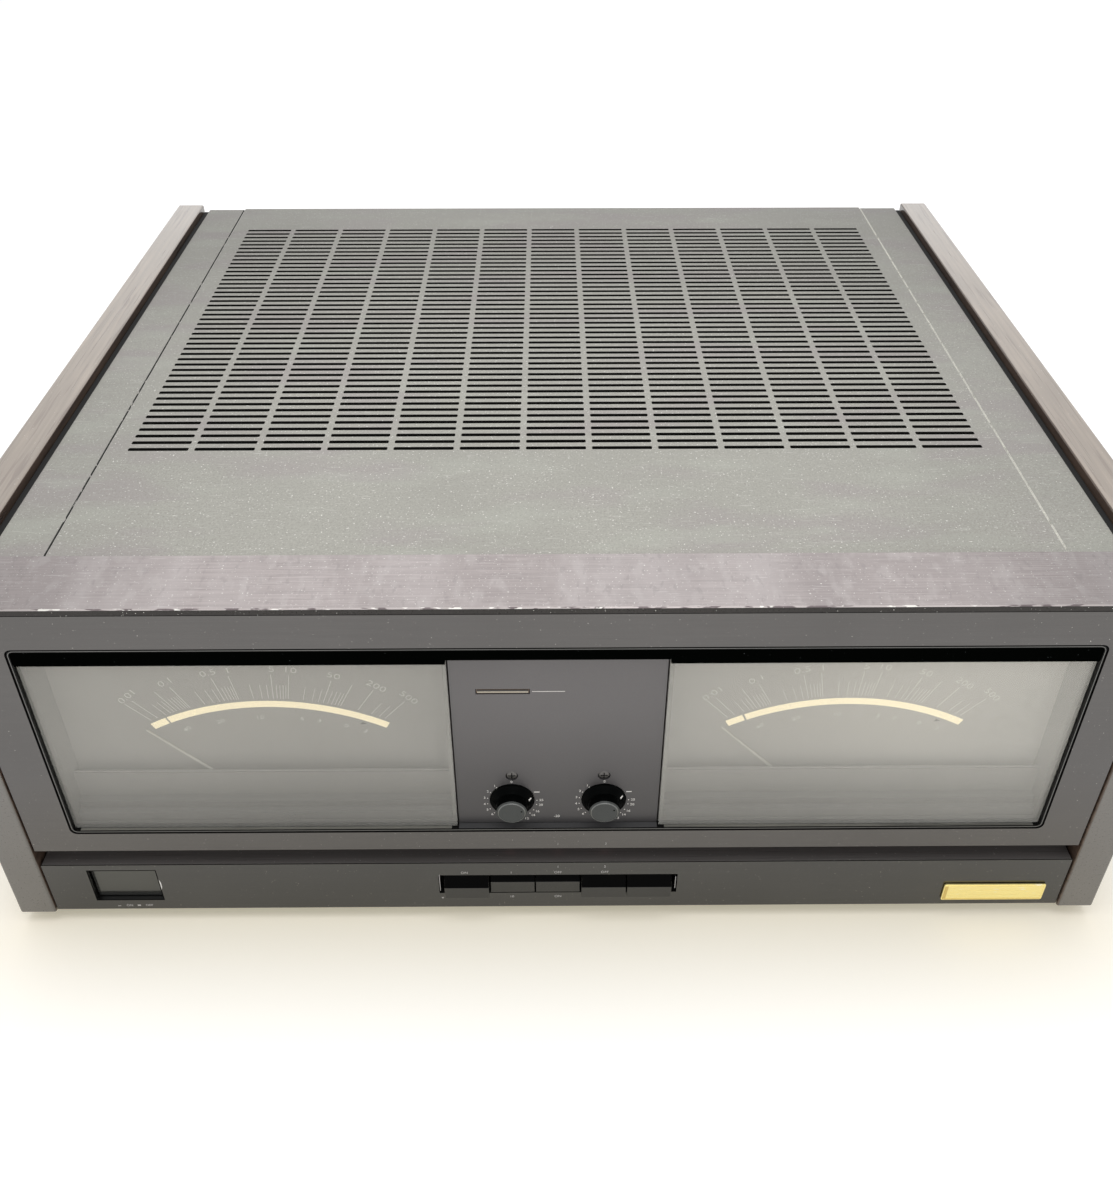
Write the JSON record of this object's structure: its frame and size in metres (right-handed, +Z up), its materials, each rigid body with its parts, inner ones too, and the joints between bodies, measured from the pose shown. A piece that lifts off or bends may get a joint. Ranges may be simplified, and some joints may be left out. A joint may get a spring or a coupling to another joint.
{
  "type": "stereo power amplifier",
  "caption": "Wide stereo power amplifier with needle meters behind glass, level knobs, push buttons, dark wood cheeks and a slotted steel cover.",
  "frame": {"origin": "on the floor below the middle of the bounding box", "axes": "+X to the viewer's right along the width, +Y from the front panel to the rear, +Z up"},
  "size_m": [0.507, 0.4452, 0.189],
  "materials": {
    "front_panel": "satin",
    "control_plate": "satin",
    "top_trim": "brushed",
    "top_cover": "satin",
    "chassis": "satin",
    "cheek": "gloss",
    "black_plastic": "matte",
    "smoked_strip": "gloss",
    "lamp": "gloss",
    "glass": "gloss",
    "scale_face": "matte",
    "needle": "matte",
    "knob": "gloss",
    "button": "gloss",
    "shaft_steel": "satin",
    "name_plate": "satin",
    "heat_sink": "matte",
    "circuit_board": "satin",
    "can_sleeve": "gloss",
    "foot": "matte"
  },
  "bodies": {
    "chassis": {"amplifier_board_left": "circuit_board", "amplifier_board_right": "circuit_board", "bottom_plate": "chassis", "control_carrier": "chassis", "control_panel": "control_plate", "foot_1": "foot", "foot_2": "foot", "foot_3": "foot", "foot_4": "foot", "front_panel": "front_panel", "heat_sink_left": "heat_sink", "heat_sink_right": "heat_sink", "indicator_lamp_1": "lamp", "indicator_lamp_2": "lamp", "indicator_lamp_3": "lamp", "indicator_strip": "smoked_strip", "input_jacks": "black_plastic", "level_control_left": "chassis", "level_control_right": "chassis", "lower_panel": "front_panel", "mains_bushing": "foot", "meter_glass_left": "glass", "meter_glass_right": "glass", "meter_housing_left": "black_plastic", "meter_housing_right": "black_plastic", "meter_movement_left": "black_plastic", "meter_movement_right": "black_plastic", "meter_scale_left": "scale_face", "meter_scale_right": "scale_face", "name_plate": "name_plate", "power_switch": "black_plastic", "rear_panel": "chassis", "reservoir_capacitor_left": "can_sleeve", "reservoir_capacitor_right": "can_sleeve", "side_cheek_left": "cheek", "side_cheek_right": "cheek", "side_frame_left": "chassis", "side_frame_right": "chassis", "speaker_terminals_left": "black_plastic", "speaker_terminals_right": "black_plastic", "status_lens": "lamp", "sub_chassis": "chassis", "switch_bank": "black_plastic", "top_cover": "top_cover", "top_trim": "top_trim", "transformer": "chassis", "window_frame": "chassis", "window_header": "black_plastic"},
    "left_knob": {"level_knob_left": "knob", "level_shaft_left": "shaft_steel"},
    "right_knob": {"level_knob_right": "knob", "level_shaft_right": "shaft_steel"},
    "left_needle": {"meter_needle_left": "needle"},
    "right_needle": {"meter_needle_right": "needle"},
    "power_key": {"power_button": "button"},
    "key_1": {"push_button_1": "button"},
    "key_2": {"push_button_2": "button"},
    "key_3": {"push_button_3": "button"},
    "key_4": {"push_button_4": "button"},
    "key_5": {"push_button_5": "button"}
  },
  "joints": [
    {"name": "left_level_turn", "type": "hinge", "parent": "chassis", "child": "left_knob", "pos_m": [-0.0202, -0.21455, 0.078], "axis": [0, 1, 0], "range_deg": [-227, 73]},
    {"name": "right_level_turn", "type": "hinge", "parent": "chassis", "child": "right_knob", "pos_m": [0.0202, -0.21455, 0.078], "axis": [0, 1, 0], "range_deg": [-220, 80]},
    {"name": "left_needle_swing", "type": "hinge", "parent": "chassis", "child": "left_needle", "pos_m": [-0.124, -0.20125, 0.0565], "axis": [0, 1, 0], "range_deg": [0, 86], "stiffness_Nm_per_rad": 0.0001},
    {"name": "right_needle_swing", "type": "hinge", "parent": "chassis", "child": "right_needle", "pos_m": [0.124, -0.20125, 0.0565], "axis": [0, 1, 0], "range_deg": [0, 86], "stiffness_Nm_per_rad": 0.0001},
    {"name": "power_press", "type": "slide", "parent": "chassis", "child": "power_key", "axis": [0, 1, 0], "range_m": [-0.0035, 0]},
    {"name": "button_1_press", "type": "slide", "parent": "chassis", "child": "key_1", "axis": [0, 1, 0], "range_m": [0, 0.0034]},
    {"name": "button_2_press", "type": "slide", "parent": "chassis", "child": "key_2", "axis": [0, 1, 0], "range_m": [-0.0034, 0]},
    {"name": "button_3_press", "type": "slide", "parent": "chassis", "child": "key_3", "axis": [0, 1, 0], "range_m": [-0.0034, 0]},
    {"name": "button_4_press", "type": "slide", "parent": "chassis", "child": "key_4", "axis": [0, 1, 0], "range_m": [0, 0.0034]},
    {"name": "button_5_press", "type": "slide", "parent": "chassis", "child": "key_5", "axis": [0, 1, 0], "range_m": [0, 0.0034]}
  ]
}
